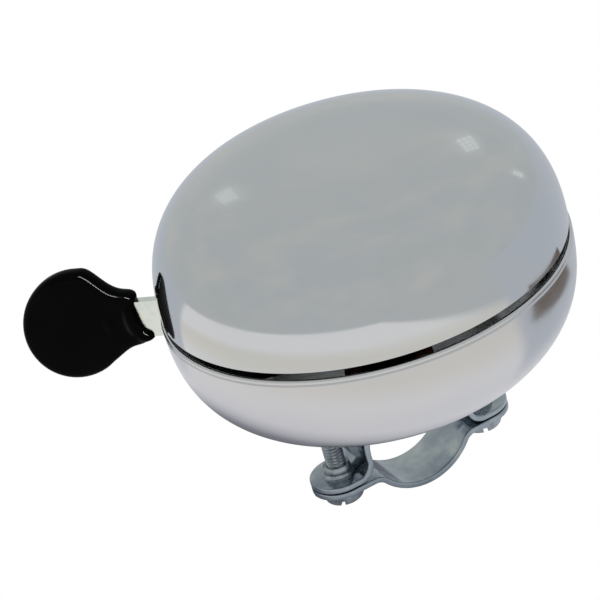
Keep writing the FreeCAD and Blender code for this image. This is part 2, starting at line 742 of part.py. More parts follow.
def make_lever():
    """Flat part with a toothed sector round the pivot, and an upright strip that ends in a disc.

    It is made along +X with the pivot at the origin, then turned to its rest direction."""
    teeth = int(value("sector_teeth"))
    to_axis = math.atan2(-value("pivot_along"), -value("pivot_across")) - math.radians(value("lever_angle"))
    points = gear_outline(teeth, -1, int(value("sector_cut")), to_axis)
    points.append(FreeCAD.Vector(0, 0, 0))
    sector = slab(points, value("lever_base_height"), value("lever_thick"))
    gear = feature("lever_sector", sector)
    hub = cylinder("lever_hub", "lever_hub_radius", "lever_thick", up="lever_base_height")
    foot = box("lever_foot", "foot_end", "foot_side + strip_thick / 2", "lever_thick",
               up="lever_base_height", along="-foot_side")
    fold_tall = "strip_low - lever_base_height + lever_thick"
    fold = box("lever_fold", "foot_end - strip_start", "strip_thick", fold_tall,
               "strip_start", "-strip_thick / 2", "lever_base_height")
    strip = box("lever_strip", "paddle_reach - strip_start", "strip_thick", "strip_top - strip_low",
                "strip_start", "-strip_thick / 2", "strip_low")
    disc = upright_disc("lever_disc", "paddle_radius", "strip_thick")
    blank = fuse("lever_blank", gear, hub, foot, fold, strip, disc)
    bore = cylinder("lever_bore", "pivot_radius + turn_play", "lever_thick * 3",
                    up="lever_base_height - lever_thick")
    lever = cut("lever_bored", blank, bore)
    place_in_bell(lever, "pivot_across", "pivot_along", turn="lever_angle")
    node(lever, "lever")

    coat = upright_disc("coat_disc", "coat_radius", "coat_thick")
    neck = box("coat_neck", "paddle_reach - neck_start", "coat_thick", "neck_tall", "neck_start",
               "-coat_thick / 2", "paddle_height - neck_tall / 2")
    whole = fuse("coat_blank", coat, neck)
    filling = fuse("coat_filling", strip, disc)
    grip = cut("coat_hollow", whole, filling)
    place_in_bell(grip, "pivot_across", "pivot_along", turn="lever_angle")
    node(grip, "lever_grip")


def make_arm():
    """Two-ended striker arm riveted on the pinion hub."""
    body = new_body("arm")
    sketch = new_sketch(body, "XY_Plane", "arm_outline")
    corners = [
        ("-arm_reach", "-arm_half_width"), ("arm_reach", "-arm_half_width"), ("arm_reach", "arm_half_width"),
        ("-arm_reach", "arm_half_width"),
    ]
    arcs = {1: ("arm_half_width", "arm_reach", "0", True), 3: ("arm_half_width", "-arm_reach", "0", True)}
    add_outline(sketch, corners, arcs)
    pad(body, sketch, "arm_pad", "arm_thick")
    middle = new_sketch(body, "XY_Plane", "arm_middle")
    add_circle(middle, "0", "0", "arm_eye")
    pad(body, middle, "arm_middle_pad", "arm_thick")
    holes = new_sketch(body, "XY_Plane", "arm_holes")
    add_circle(holes, "0", "0", "hub_radius")
    add_circle(holes, "arm_reach", "0", "pin_radius")
    add_circle(holes, "-arm_reach", "0", "pin_radius")
    pocket(body, holes, "arm_hole_pocket", "arm_thick * 2", upward=True)
    place_in_bell(body, up="arm_low", turn="upper_rest_angle")
    return node(body, "rotor_arm")


ARM_TOP = "(arm_low + arm_thick)"
LOWER_STRIKER_LOW = f"({ARM_TOP} + clearance)"


def make_strikers():
    """Loose discs on the arm's pins: a tall pin reaches the upper gong, a short one the lower."""
    levels = {
        "upper": ("upper_rest_angle", "upper_striker_low"),
        "lower": ("upper_rest_angle + 180", LOWER_STRIKER_LOW),
    }
    clips = []
    for which, (angle, low) in levels.items():
        where = (f"arm_reach * cos(({angle}) * 1 deg)", f"arm_reach * sin(({angle}) * 1 deg)")
        top = f"({low} + striker_thick)"
        edge = "striker_radius - striker_round"
        disc = turned(f"{which}_disc", [
            ("striker_hole", low), (edge, low), ("striker_radius", f"{low} + striker_round"),
            ("striker_radius", f"{top} - striker_round"), (edge, top), ("striker_hole", top),
        ], {
            1: ("striker_round", edge, f"{low} + striker_round", True),
            3: ("striker_round", edge, f"{top} - striker_round", True),
        })
        place_in_bell(disc, *where)
        node(disc, f"{which}_striker")
        pin_top = f"{top} + clearance + clip_thick + pin_end"
        collar = []
        if which == "upper":
            shoulder = f"{low} - clearance"
            collar = [
                ("pin_radius", ARM_TOP), ("collar_radius", ARM_TOP), ("collar_radius", shoulder),
                ("pin_radius", shoulder),
            ]
        foot = [("0", "arm_low"), ("pin_radius", "arm_low")]
        corners = foot + collar + [("pin_radius", pin_top), ("0", pin_top)]
        pin = turned(f"{which}_pin", corners)
        place_in_bell(pin, *where)
        node(pin, f"{which}_striker_post")
        clip = ring(f"{which}_clip", "clip_radius", "pin_radius", f"({top} + clearance)", "clip_thick")
        place_in_bell(clip, *where)
        clips.append(clip)
    group = doc.addObject("Part::Compound", "clip_pair")
    group.Links = clips
    node(group, "striker_clips")
    hub_top = f"({ARM_TOP} + hub_rise + clearance)"
    node(ring("rotor_ring", "rotor_clip_radius", "stud_radius", hub_top, "clip_thick"), "rotor_clip")


def make_spring():
    """Torsion spring round the pivot: one leg on the anchor post, one along the lever's strip.

    Its close turns are one sleeve as thick as the wire."""
    coil = value("spring_radius")
    wire = value("wire_radius")
    low = value("spring_low")
    tall = value("spring_pitch * spring_turns")
    base = FreeCAD.Vector(0, 0, low - wire)
    sleeve = Part.makeCylinder(coil + wire, tall + 2 * wire, base)
    sleeve = sleeve.cut(Part.makeCylinder(coil - wire, tall + 2 * wire, base))
    # the legs are a little thinner, so that the sleeve covers their ends
    leg = 0.9 * wire
    low_start = FreeCAD.Vector(coil, 0, low)
    low_leg = Part.makeCylinder(leg, value("spring_low_leg"), low_start, FreeCAD.Vector(0, -1, 0))
    end = 2 * math.pi * value("spring_turns")
    high_start = FreeCAD.Vector(coil * math.cos(end), coil * math.sin(end), low + tall)
    onward = FreeCAD.Vector(-math.sin(end), math.cos(end), 0)
    high_leg = Part.makeCylinder(leg, value("spring_high_leg"), high_start, onward)
    spring = feature("spring_coil", sleeve.fuse([low_leg, high_leg]))
    place_in_bell(spring, "pivot_across", "pivot_along", turn="spring_aim")
    node(spring, "return_spring")


def main():
    make_saddle(make_stud_seat())
    make_strap()
    make_screws()
    make_stud()
    upper_room = make_upper_gong()[1]
    lower_room = make_lower_gong()[1]
    make_nib("upper_strike_nib", upper_room, "upper_nib_angle", "upper_striker_low + striker_thick / 2")
    make_nib("lower_strike_nib", lower_room, "lower_nib_angle", f"{LOWER_STRIKER_LOW} + striker_thick / 2")
    boss_low = "(rim_height + upper_crown - sheet - boss_gap - boss_tall)"
    node(ring("boss", "boss_radius", "stud_neck_radius", boss_low, "boss_tall"), "upper_gong_boss")
    locknut_low = f"({boss_low} - locknut_tall)"
    hexagon_nut("gong_locknut", "locknut_corner", "stud_neck_radius", locknut_low, "locknut_tall")
    plate_low = make_stack()
    make_plate(plate_low)
    plate_top = f"({plate_low} + plate_thick)"
    make_pivot(plate_top)
    make_posts(plate_top)
    make_pinion()
    make_arm()
    make_strikers()
    make_lever()
    make_spring()
    doc.recompute()
    for item in doc.Objects:
        if "Invalid" in item.State or "Error" in item.State:
            raise RuntimeError(f"{item.Label} failed: {item.State}")
    for item in nodes:
        if item.Shape.isNull() or not item.Shape.isValid():
            raise RuntimeError(f"{item.Label} has no valid shape")
    os.makedirs("parts", exist_ok=True)
    for item in nodes:
        item.Shape.exportStep(f"parts/{item.Label}.step")
        bounds = item.Shape.BoundBox
        print(f"{item.Label}: {len(item.Shape.Solids)} solid, {item.Shape.Volume:.0f} mm3, "
              f"z {bounds.ZMin:.2f} to {bounds.ZMax:.2f}")


main()
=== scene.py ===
import json
import math

import bmesh
import bpy
from mathutils import Matrix, Vector


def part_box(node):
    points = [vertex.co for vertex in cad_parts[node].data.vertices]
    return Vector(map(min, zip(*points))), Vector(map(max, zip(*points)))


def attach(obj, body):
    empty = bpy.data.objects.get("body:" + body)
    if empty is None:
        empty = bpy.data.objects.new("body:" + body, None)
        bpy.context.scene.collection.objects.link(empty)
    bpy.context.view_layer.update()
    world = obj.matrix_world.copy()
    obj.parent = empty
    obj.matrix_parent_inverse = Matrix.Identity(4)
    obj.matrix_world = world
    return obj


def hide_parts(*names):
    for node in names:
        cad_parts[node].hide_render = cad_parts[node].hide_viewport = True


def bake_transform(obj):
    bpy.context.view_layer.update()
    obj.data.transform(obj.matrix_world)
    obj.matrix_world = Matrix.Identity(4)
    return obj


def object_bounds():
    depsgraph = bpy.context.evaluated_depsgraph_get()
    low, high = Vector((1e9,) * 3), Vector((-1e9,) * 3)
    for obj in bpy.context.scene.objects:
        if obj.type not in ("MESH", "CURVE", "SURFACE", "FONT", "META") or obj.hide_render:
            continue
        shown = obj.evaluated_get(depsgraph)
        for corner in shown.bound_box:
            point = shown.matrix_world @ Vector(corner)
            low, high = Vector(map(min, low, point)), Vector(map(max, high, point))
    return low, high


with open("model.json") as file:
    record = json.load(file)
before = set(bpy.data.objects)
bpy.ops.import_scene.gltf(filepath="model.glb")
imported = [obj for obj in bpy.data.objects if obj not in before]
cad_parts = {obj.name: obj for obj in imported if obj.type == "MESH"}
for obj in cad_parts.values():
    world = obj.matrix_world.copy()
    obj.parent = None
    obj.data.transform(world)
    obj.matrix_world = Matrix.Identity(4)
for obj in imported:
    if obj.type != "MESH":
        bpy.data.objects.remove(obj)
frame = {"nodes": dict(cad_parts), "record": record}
cad_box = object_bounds()

MM = 0.001
NODES = frame["nodes"]
scene = bpy.context.scene

# ---- measures from the frame ----

rim_low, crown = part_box("upper_gong")
bowl_low, bowl_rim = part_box("lower_gong")
pin_low, pin_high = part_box("lever_pivot_pin")
screw_low, screw_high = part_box("clamp_screws")
strap_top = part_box("clamp_strap")[1].z
saddle_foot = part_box("saddle_bracket")[0].z
PIVOT = Vector(((pin_low.x + pin_high.x) / 2, (pin_low.y + pin_high.y) / 2, 0))

# ---- the design's own values, in metres and degrees ----

SHEET = 1.0 * MM
BELL_TURN = 10.9
LEVER_ANGLE = math.radians(215.4 + BELL_TURN)
BAR_RADIUS = 11.1 * MM
STRAP_THICK = 1.2 * MM
STRAP_HALF = 6.0 * MM
BEND_RADIUS = 2.5 * MM
SCREW_OFFSET = 16.5 * MM
SCREW_RADIUS = 2.0 * MM
# the height of each half's tab face in the parting, over the bar (1) and under it (-1)
TAB_FACES = {1: saddle_foot, -1: strap_top}
WHITE = (1.0, 1.0, 1.0)


# ---- node helpers ----

def color_ramp(tree, source, stops):
    """A colour ramp: stops are (position, colour)."""
    made = tree.nodes.new("ShaderNodeValToRGB")
    elements = made.color_ramp.elements
    while len(elements) < len(stops):
        elements.new(0.5)
    for element, (position, color) in zip(elements, stops):
        element.position = position
        element.color = (*color, 1.0)
    tree.links.new(source, made.inputs["Fac"])
    return made.outputs["Color"]


def map_range(tree, source, low, high, to_low=0.0, to_high=1.0, curve="SMOOTHSTEP"):
    made = tree.nodes.new("ShaderNodeMapRange")
    made.interpolation_type = curve
    ends = {"From Min": low, "From Max": high, "To Min": to_low, "To Max": to_high}
    for socket, number in ends.items():
        made.inputs[socket].default_value = number
    tree.links.new(source, made.inputs["Value"])
    return made.outputs["Result"]


# ---- materials ----

class Shader:
    """A node material under construction, with the small set of nodes that this scene uses."""

    def __init__(self, name, color, metallic=0.0, roughness=0.4, **sockets):
        self.material = bpy.data.materials.new(name)
        self.material.use_nodes = True
        self.tree = self.material.node_tree
        self.shader = self.tree.nodes["Principled BSDF"]
        self.set("Base Color", (*color, 1.0))
        self.set("Metallic", metallic)
        self.set("Roughness", roughness)
        for socket, number in sockets.items():
            self.set(socket.replace("_", " "), number)
        self.place = self.node("ShaderNodeTexCoord").outputs["Object"]
        self.normal = None

    def set(self, socket, number):
        self.shader.inputs[socket].default_value = number

    def node(self, kind, **properties):
        made = self.tree.nodes.new(kind)
        for name, number in properties.items():
            setattr(made, name, number)
        return made

    def link(self, output, target):
        self.tree.links.new(output, target)

    def noise(self, scale, detail=3.0, roughness=0.5, stretch=None):
        """Noise between 0 and 1, with scale in cycles per metre."""
        made = self.node("ShaderNodeTexNoise")
        made.inputs["Scale"].default_value = scale
        made.inputs["Detail"].default_value = detail
        made.inputs["Roughness"].default_value = roughness
        source = self.place
        if stretch:
            mapping = self.node("ShaderNodeMapping")
            mapping.inputs["Scale"].default_value = stretch
            self.link(self.place, mapping.inputs["Vector"])
            source = mapping.outputs["Vector"]
        self.link(source, made.inputs["Vector"])
        return made.outputs["Fac"]

    def ramp(self, source, *stops):
        return color_ramp(self.tree, source, stops)

    def level(self, source, low, high, to_low, to_high):
        return map_range(self.tree, source, low, high, to_low, to_high, "LINEAR")

    def color(self, source):
        self.link(source, self.shader.inputs["Base Color"])

    def rough(self, source):
        self.link(source, self.shader.inputs["Roughness"])

    def bump(self, source, height, strength=1.0):
        """Adds relief of this height in metres."""
        made = self.node("ShaderNodeBump")
        made.inputs["Distance"].default_value = height
        made.inputs["Strength"].default_value = strength
        self.link(source, made.inputs["Height"])
        if self.normal:
            self.link(self.normal, made.inputs["Normal"])
        self.normal = made.outputs["Normal"]
        self.link(self.normal, self.shader.inputs["Normal"])


def chrome():
    made = Shader("gong_chrome", (0.67, 0.68, 0.69), metallic=1.0, roughness=0.06)
    clouds = made.noise(26.0, 4.0, 0.55)
    made.color(made.ramp(clouds, (0.32, (0.655, 0.672, 0.69)), (0.7, (0.69, 0.695, 0.695))))
    haze = made.noise(60.0, 5.0, 0.65)
    made.rough(made.level(haze, 0.3, 0.75, 0.05, 0.12))
    swell = made.noise(34.0, 2.0, 0.5)
    made.bump(swell, 0.05 * MM, 0.5)
    return made.material


def satin_chrome():
    """The bowl's plating is a little duller than the dome's."""
    made = Shader("bowl_chrome", (0.68, 0.68, 0.70), metallic=1.0, roughness=0.2)
    clouds = made.noise(30.0, 4.0, 0.6)
    made.color(made.ramp(clouds, (0.3, (0.67, 0.675, 0.70)), (0.7, (0.71, 0.70, 0.70))))
    haze = made.noise(120.0, 5.0, 0.65, (1.0, 1.0, 3.0))
    made.rough(made.level(haze, 0.3, 0.75, 0.13, 0.24))
    made.bump(made.noise(45.0, 2.0, 0.5), 0.06 * MM, 0.5)
    return made.material


def gong_inside_shade():
    """Painted shade: a dull, near-black finish that stands in for the shade inside the gongs, so that the gap
    between the rims reads black.
    """
    # near black: painted shade for the inside of the bell, with blotches that vary it at random
    made = Shader("gong_inside_shade", (0.012, 0.012, 0.013), roughness=0.8, Specular_IOR_Level=0.1)
    blotches = made.noise(180.0, 4.0, 0.6)
    made.color(made.ramp(blotches, (0.3, (0.008, 0.008, 0.009)), (0.7, (0.018, 0.0175, 0.017))))
    made.rough(made.level(blotches, 0.3, 0.7, 0.7, 0.9))
    return made.material


def rim_edge():
    """The sheared edge of the sheet, polished through to a warm tone."""
    made = Shader("rim_edge", (0.72, 0.64, 0.50), metallic=1.0, roughness=0.22)
    wear = made.noise(420.0, 4.0, 0.65)
    worn = (0.3, (0.46, 0.38, 0.26)), (0.5, (0.74, 0.68, 0.56)), (0.75, (0.85, 0.83, 0.78))
    made.color(made.ramp(wear, *worn))
    made.rough(made.level(wear, 0.3, 0.7, 0.15, 0.35))
    return made.material


def zinc():
    made = Shader("zinc_plate", (0.58, 0.61, 0.63), metallic=1.0, roughness=0.28)
    clouds = made.noise(150.0, 4.0, 0.6)
    clouded = (0.25, (0.24, 0.285, 0.32)), (0.55, (0.40, 0.455, 0.49)), (0.8, (0.60, 0.62, 0.58))
    made.color(made.ramp(clouds, *clouded))
    grain = made.noise(900.0, 3.0, 0.6)
    made.rough(made.level(grain, 0.25, 0.8, 0.10, 0.22))
    drawn = made.noise(700.0, 2.0, 0.5, (1.0, 0.12, 0.12))
    made.bump(drawn, 0.03 * MM, 0.35)
    made.bump(grain, 0.02 * MM, 0.4)
    return made.material


def lever_plate():
    """Bright zinc with the faint green and yellow tints of its passivation."""
    made = Shader("lever_plate", (0.80, 0.84, 0.78), metallic=1.0, roughness=0.25)
    tint = made.noise(260.0, 3.0, 0.6)
    tinted = (0.3, (0.70, 0.80, 0.74)), (0.5, (0.84, 0.88, 0.84)), (0.72, (0.88, 0.85, 0.66))
    made.color(made.ramp(tint, *tinted))
    grain = made.noise(800.0, 3.0, 0.6)
    made.rough(made.level(grain, 0.25, 0.8, 0.20, 0.28))
    made.bump(made.noise(500.0, 2.0, 0.5), 0.01 * MM, 0.3)
    return made.material


def screw_zinc():
    made = Shader("screw_zinc", (0.34, 0.37, 0.40), metallic=1.0, roughness=0.3)
    clouds = made.noise(500.0, 4.0, 0.6)
    clouded = (0.3, (0.22, 0.24, 0.26)), (0.55, (0.42, 0.46, 0.49)), (0.8, (0.62, 0.64, 0.62))
    made.color(made.ramp(clouds, *clouded))
    made.rough(made.level(clouds, 0.25, 0.8, 0.2, 0.42))
    made.bump(clouds, 0.03 * MM, 0.4)
    return made.material


def steel(name, color, rough_low, rough_high, grain_scale=700.0):
    made = Shader(name, color, metallic=1.0, roughness=rough_low)
    shade = made.noise(220.0, 3.0)
    dark = tuple(0.82 * c for c in color)
    made.color(made.ramp(shade, (0.3, dark), (0.7, color)))
    grain = made.noise(grain_scale, 3.0, 0.6)
    made.rough(made.level(grain, 0.25, 0.75, rough_low, rough_high))
    made.bump(grain, 0.02 * MM, 0.35)
    return made.material


def vinyl():
    made = Shader("dark_vinyl", (0.0008, 0.0008, 0.001), roughness=0.12, Specular_IOR_Level=0.03)
    swell = made.noise(110.0, 2.0, 0.5)
    made.bump(swell, 0.3 * MM, 0.35)
    fine = made.noise(700.0, 3.0, 0.5)
    made.rough(made.level(fine, 0.3, 0.8, 0.09, 0.2))
    made.color(made.ramp(swell, (0.3, (0.0006, 0.0006, 0.0008)), (0.8, (0.0012, 0.0012, 0.0015))))
    return made.material


def fibre():
    made = Shader("red_fibre", (0.30, 0.07, 0.045), roughness=0.7)
    grain = made.noise(1200.0, 4.0, 0.7)
    made.color(made.ramp(grain, (0.3, (0.22, 0.05, 0.03)), (0.7, (0.36, 0.09, 0.06))))
    made.bump(grain, 0.05 * MM, 0.5)
    return made.material


MATERIALS = {
    "gong_chrome": chrome(),
    "zinc_plate": zinc(),
    "dark_vinyl": vinyl(),
    # the mechanism and striker steels are painted near black: painted shade for the dark inside of the bell
    "mechanism_steel": steel("mechanism_steel", (0.06, 0.06, 0.062), 0.45, 0.6),
    "striker_steel": steel("striker_steel", (0.045, 0.045, 0.048), 0.4, 0.6, 400.0),
    "spring_steel": steel("spring_steel", (0.33, 0.33, 0.34), 0.25, 0.45),
    "red_fibre": fibre(),
}
BOWL_CHROME = satin_chrome()
GONG_INSIDE_SHADE = gong_inside_shade()
RIM_EDGE = rim_edge()
LEVER_PLATE = lever_plate()
SCREW_ZINC = screw_zinc()


def finish_nodes():
    """Each CAD node takes its slot's material."""
    for entry in frame["record"]["subparts"]:
        node = NODES[entry["node"]]
        node.data.materials.clear()
        own = LEVER_PLATE if entry["node"] == "lever" else MATERIALS[entry["material_slot"]]
        node.data.materials.append(own)


# ---- mesh helpers ----

# places in a piece's list of materials
# the inside place holds the gongs' painted shade
MAIN_FINISH, PAINTED_SHADE_INSIDE, EDGE_FINISH = 0, 1, 2
ON_AXIS = 1e-7


def linked(name, data):
    item = bpy.data.objects.new(name, data)
    scene.collection.objects.link(item)
    return item


def new_piece(name, mesh, body, slot, nodes, materials=None, sharp=None):
    """Links a mesh as a piece that rides on a body, or on no body, and stands for CAD nodes.

    Edges that turn by more than the sharp angle, in degrees, stay crisp."""
    piece = linked(name, mesh)
    mesh.materials.clear()
    for material in materials or [MATERIALS[slot]]:
        mesh.materials.append(material)
    mesh.polygons.foreach_set("use_smooth", [True] * len(mesh.polygons))
    if sharp:
        bm = bmesh.new()
        bm.from_mesh(mesh)
        for edge in bm.edges:
            edge.smooth = edge.calc_face_angle(math.pi) < math.radians(sharp)
        bm.to_mesh(mesh)
        bm.free()
    if body:
        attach(piece, body)
    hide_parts(*nodes)
    return piece


def finished(bm, name):
    bmesh.ops.recalc_face_normals(bm, faces=bm.faces)
    mesh = bpy.data.meshes.new(name)
    bm.to_mesh(mesh)
    bm.free()
    return mesh


def baked(mesh, *modifiers):
    """The mesh with modifiers applied: each is (kind, settings)."""
    item = linked("baking", mesh)
    for kind, settings in modifiers:
        modifier = item.modifiers.new(kind, kind)
        for name, number in settings.items():
            setattr(modifier, name, number)
    made = bpy.data.meshes.new_from_object(item.evaluated_get(bpy.context.evaluated_depsgraph_get()))
    bpy.data.objects.remove(item)
    return made


def cut(mesh, tool):
    """The mesh with the tool's solids taken out of it."""
    cutter = linked("cutter", finished(tool, "cutter"))
    name = mesh.name
    made = baked(mesh, ("BOOLEAN", {"object": cutter, "operation": "DIFFERENCE", "solver": "EXACT"}))
    bpy.data.objects.remove(cutter)
    made.name = name
    return made


def turned_rings(bm, profile, angles):
    """Vertices for a profile of (radius, height) at each angle. A point on the axis is one vertex."""
    rings = []
    for radius, height in profile:
        if radius < ON_AXIS:
            rings.append([bm.verts.new((0, 0, height))] * len(angles))
        else:
            rings.append([bm.verts.new((radius * math.cos(a), radius * math.sin(a), height)) for a in angles])
    return rings


def join_rings(bm, lower, upper, material=MAIN_FINISH, skip=()):
    """Faces between two rings, all the way round."""
    for i in range(len(lower)):
        j = (i + 1) % len(lower)
        if i in skip:
            continue
        corners = []
        for vert in (lower[i], lower[j], upper[j], upper[i]):
            if vert not in corners:
                corners.append(vert)
        face = bm.faces.new(corners)
        face.material_index = material


def even_angles(steps):
    return [2 * math.pi * i / steps for i in range(steps)]


def lathe(name, profile, steps):
    """A mesh turned about +Z from a closed loop of (radius, height) points."""
    bm = bmesh.new()
    rings = turned_rings(bm, profile, even_angles(steps))
    for lower, upper in zip(rings, rings[1:] + rings[:1]):
        join_rings(bm, lower, upper)
    return finished(bm, name)


def card_mesh(name, half_x, half_y, height=0.0):
    """A flat rectangle."""
    signs = ((-1, -1), (1, -1), (1, 1), (-1, 1))
    corners = [(across * half_x, along * half_y, height) for across, along in signs]
    mesh = bpy.data.meshes.new(name)
    mesh.from_pydata(corners, [], [(0, 1, 2, 3)])
    return mesh


# ---- gongs ----

# each wall's superellipse: the power across it and the power up it
DOME_POWERS = (3.22, 2.41)
BOWL_POWERS = (2.80, 2.71)
# the bowl's superellipse runs on past its flat seat to this depth
BOWL_DEPTH = 26.4 * MM
EDGE_SOFTEN = 0.35 * MM
LIP_BAND = 0.9 * MM
CREASE_AT = 0.95 * MM
CREASE_SPREAD = 0.14 * MM
CREASE_DEPTH = 0.2 * MM
NOTCH_START = math.radians(210.5 + BELL_TURN)
NOTCH_END = math.radians(229.6 + BELL_TURN)
NOTCH_DEPTH = 8.7 * MM
STUD_HOLE = 3.1 * MM


def wall(radius, depth, across_power, up_power, heights):
    """Outer and inner (radius, height from the rim) points of a superellipse wall."""
    outer = []
    inner = []
    for height in heights:
        share = min(1.0, (height / depth) ** up_power)
        across = radius * (1 - share) ** (1 / across_power)
        slope_up = up_power / depth * (height / depth) ** (up_power - 1)
        slope_across = across_power / radius * (across / radius) ** (across_power - 1)
        size = math.hypot(slope_up, slope_across)
        outer.append((across, height))
        inner.append((across - SHEET * slope_across / size, height - SHEET * slope_up / size))
    return outer, inner


def sine_heights(last, rows):
    """Heights from the rim, closest where the wall turns fastest."""
    return [last * math.sin(math.pi / 2 * i / rows) for i in range(rows + 1)]


def rounded_lip(outer, inner, steps):
    """Points that round the sheet's edge between the first outer and inner points."""
    middle = (outer[0] + inner[0]) / 2
    half = (outer[0] - inner[0]) / 2
    points = []
    for i in range(steps + 1):
        turn = math.pi * i / steps
        points.append((middle + half * math.cos(turn), EDGE_SOFTEN * (1 - math.sin(turn))))
    return points


def add_upper_gong():
    depth = crown.z - rim_low.z
    outer, inner = wall(crown.x, depth, *DOME_POWERS, sine_heights(depth, 90))
    outer[-1] = (0.0, depth)
    inner[-1] = (0.0, depth - SHEET)
    lip = rounded_lip(outer[0], inner[0], 6)
    outer_rows = [row for row in outer if row[1] > EDGE_SOFTEN]
    inner_rows = [row for row in inner if row[1] > EDGE_SOFTEN]
    bm = bmesh.new()
    profile = outer_rows[::-1] + lip + inner_rows
    rings = turned_rings(bm, [(r, rim_low.z + h) for r, h in profile], even_angles(256))
    first_inside = len(outer_rows) + len(lip)
    for i, (lower, upper) in enumerate(zip(rings, rings[1:])):
        join_rings(bm, lower, upper, PAINTED_SHADE_INSIDE if i >= first_inside else MAIN_FINISH)
    mesh = finished(bm, "upper_dome")
    finishes = [MATERIALS["gong_chrome"], GONG_INSIDE_SHADE]
    new_piece("upper_dome", mesh, "root", "gong_chrome", ["upper_gong"], finishes)


def add_lower_gong():
    """A bowl with a flat seat, a hole for the stud, and the lever's notch in its wall."""
    seat = bowl_rim.z - bowl_low.z
    crease_rows = [(0.6 + 0.06 * i) * MM for i in range(14)]
    heights = sorted(sine_heights(seat, 80) + crease_rows + [EDGE_SOFTEN, NOTCH_DEPTH])
    heights = [height for height in heights if height >= EDGE_SOFTEN]
    rim_outer, rim_inner = wall(bowl_rim.x, BOWL_DEPTH, *BOWL_POWERS, [0.0])
    outer, inner = wall(bowl_rim.x, BOWL_DEPTH, *BOWL_POWERS, heights)
    inside = [point for point in inner if point[1] < seat - SHEET - 0.3 * MM]
    # a fine crease below the rolled lip
    outer = [(r - CREASE_DEPTH * math.exp(-((h - CREASE_AT) / CREASE_SPREAD) ** 2), h) for r, h in outer]
    pairs = len(inside)
    inside.append((outer[-1][0] - 0.3 * MM, seat - SHEET))
    seat_ring = [(STUD_HOLE, seat), (STUD_HOLE, seat - SHEET)]
    lip = rounded_lip(rim_outer[0], rim_inner[0], 8)[1:-1]

    # the column angles include both edges of the notch
    steps = 240
    inside_steps = 14
    angles = [NOTCH_START + (NOTCH_END - NOTCH_START) * i / inside_steps for i in range(inside_steps)]
    around = 2 * math.pi - (NOTCH_END - NOTCH_START)
    angles += [NOTCH_END + around * i / steps for i in range(steps)]
    notch = range(inside_steps)

    bm = bmesh.new()

    def rings_of(points):
        return turned_rings(bm, [(r, bowl_rim.z - h) for r, h in points], angles)

    outer_rings = rings_of(outer)
    inner_rings = rings_of(inside)
    lip_rings = rings_of(lip)
    seat_rings = rings_of(seat_ring)
    notch_rows = heights.index(NOTCH_DEPTH)
    lip_rows = sum(height < LIP_BAND for height in heights)
    for i in range(len(outer_rings) - 1):
        finish = EDGE_FINISH if i < lip_rows else MAIN_FINISH
        join_rings(bm, outer_rings[i], outer_rings[i + 1], finish, notch if i < notch_rows else ())
    for i in range(len(inner_rings) - 1):
        join_rings(bm, inner_rings[i], inner_rings[i + 1], PAINTED_SHADE_INSIDE, notch if i < notch_rows else ())
    edge = [outer_rings[0]] + lip_rings + [inner_rings[0]]
    for lower, upper in zip(edge, edge[1:]):
        join_rings(bm, lower, upper, EDGE_FINISH, notch)
    join_rings(bm, outer_rings[-1], seat_rings[0])
    join_rings(bm, seat_rings[0], seat_rings[1], PAINTED_SHADE_INSIDE)
    join_rings(bm, seat_rings[1], inner_rings[-1], PAINTED_SHADE_INSIDE)
    # the cut faces round the notch
    for i in notch:
        face = bm.faces.new((outer_rings[notch_rows][i], outer_rings[notch_rows][i + 1],
                             inner_rings[notch_rows][i + 1], inner_rings[notch_rows][i]))
        face.material_index = EDGE_FINISH
    for column in (0, inside_steps):
        for i in range(min(notch_rows, pairs - 1)):
            face = bm.faces.new((outer_rings[i][column], outer_rings[i + 1][column],
                                 inner_rings[i + 1][column], inner_rings[i][column]))
            face.material_index = EDGE_FINISH
        face = bm.faces.new([ring[column] for ring in edge])
        face.material_index = EDGE_FINISH
    mesh = finished(bm, "lower_bowl")
    finishes = [BOWL_CHROME, GONG_INSIDE_SHADE, RIM_EDGE]
    new_piece("lower_bowl", mesh, "root", "gong_chrome", ["lower_gong"], finishes, 50)


# ---- the dipped grip ----

COAT_VOXEL = 0.28 * MM
# the rest of the grip is set out in mm, in the lever's own plane: (reach from the pivot, height)
COAT_HALF = 1.9
COAT_ROUND = 1.5
GRIP_CENTRE = Vector((36.5, 32.6))
GRIP_HALF_LONG = 13.3
GRIP_HALF_SHORT = 10.7
GRIP_TILT = math.radians(-47)
# the stretch of the ellipse that is used, in degrees, from the top of the neck round the far end
GRIP_ARC_START = 159
GRIP_ARC_SWEEP = 240
# centre and radii, as (reach, across, height): the bead round the neck, the drip, and a swell by the bead
GRIP_LUMPS = (
    ((23.9, 0, 33.2), (1.9, 2.65, 5.2)),
    ((22.2, 0.4, 29.3), (2.2, 2.0, 1.5)),
    ((28.8, 0, 33.0), (2.6, 2.15, 5.2)),
)


def grip_outline():
    """The paddle's ellipse from the top of the neck round to its underside, and the neck's points, listed one
    by one.
    """
    long_axis = Vector((math.cos(GRIP_TILT), math.sin(GRIP_TILT)))
    short_axis = Vector((-long_axis.y, long_axis.x))
    # shoulder and the top of the neck
    points = [(22.0, 38.0), (23.0, 39.0), (25.5, 39.5), (27.5, 40.8)]
    steps = 18
    for i in range(steps + 1):
        turn = math.radians(GRIP_ARC_START - GRIP_ARC_SWEEP * i / steps)
        points.append(GRIP_CENTRE + long_axis * GRIP_HALF_LONG * math.cos(turn)
                      + short_axis * GRIP_HALF_SHORT * math.sin(turn))
    # underside of the neck, and a drip that ran back along the strip
    points += [(26.0, 26.5), (22.5, 27.5)]
    points += [(20.5, 29.0), (20.0, 30.0), (21.5, 31.0), (22.0, 33.5), (22.3, 36.0)]
    return points


def ball(bm, centre, radii):
    """An ellipsoid in the lever's frame, in mm."""
    place = Matrix.Translation(Vector(centre) * MM) @ Matrix.Diagonal((*(r * MM for r in radii), 1))
    bmesh.ops.create_uvsphere(bm, u_segments=32, v_segments=20, radius=1.0, matrix=place)


def lever_place():
    return Matrix.Translation(PIVOT) @ Matrix.Rotation(LEVER_ANGLE, 4, "Z")


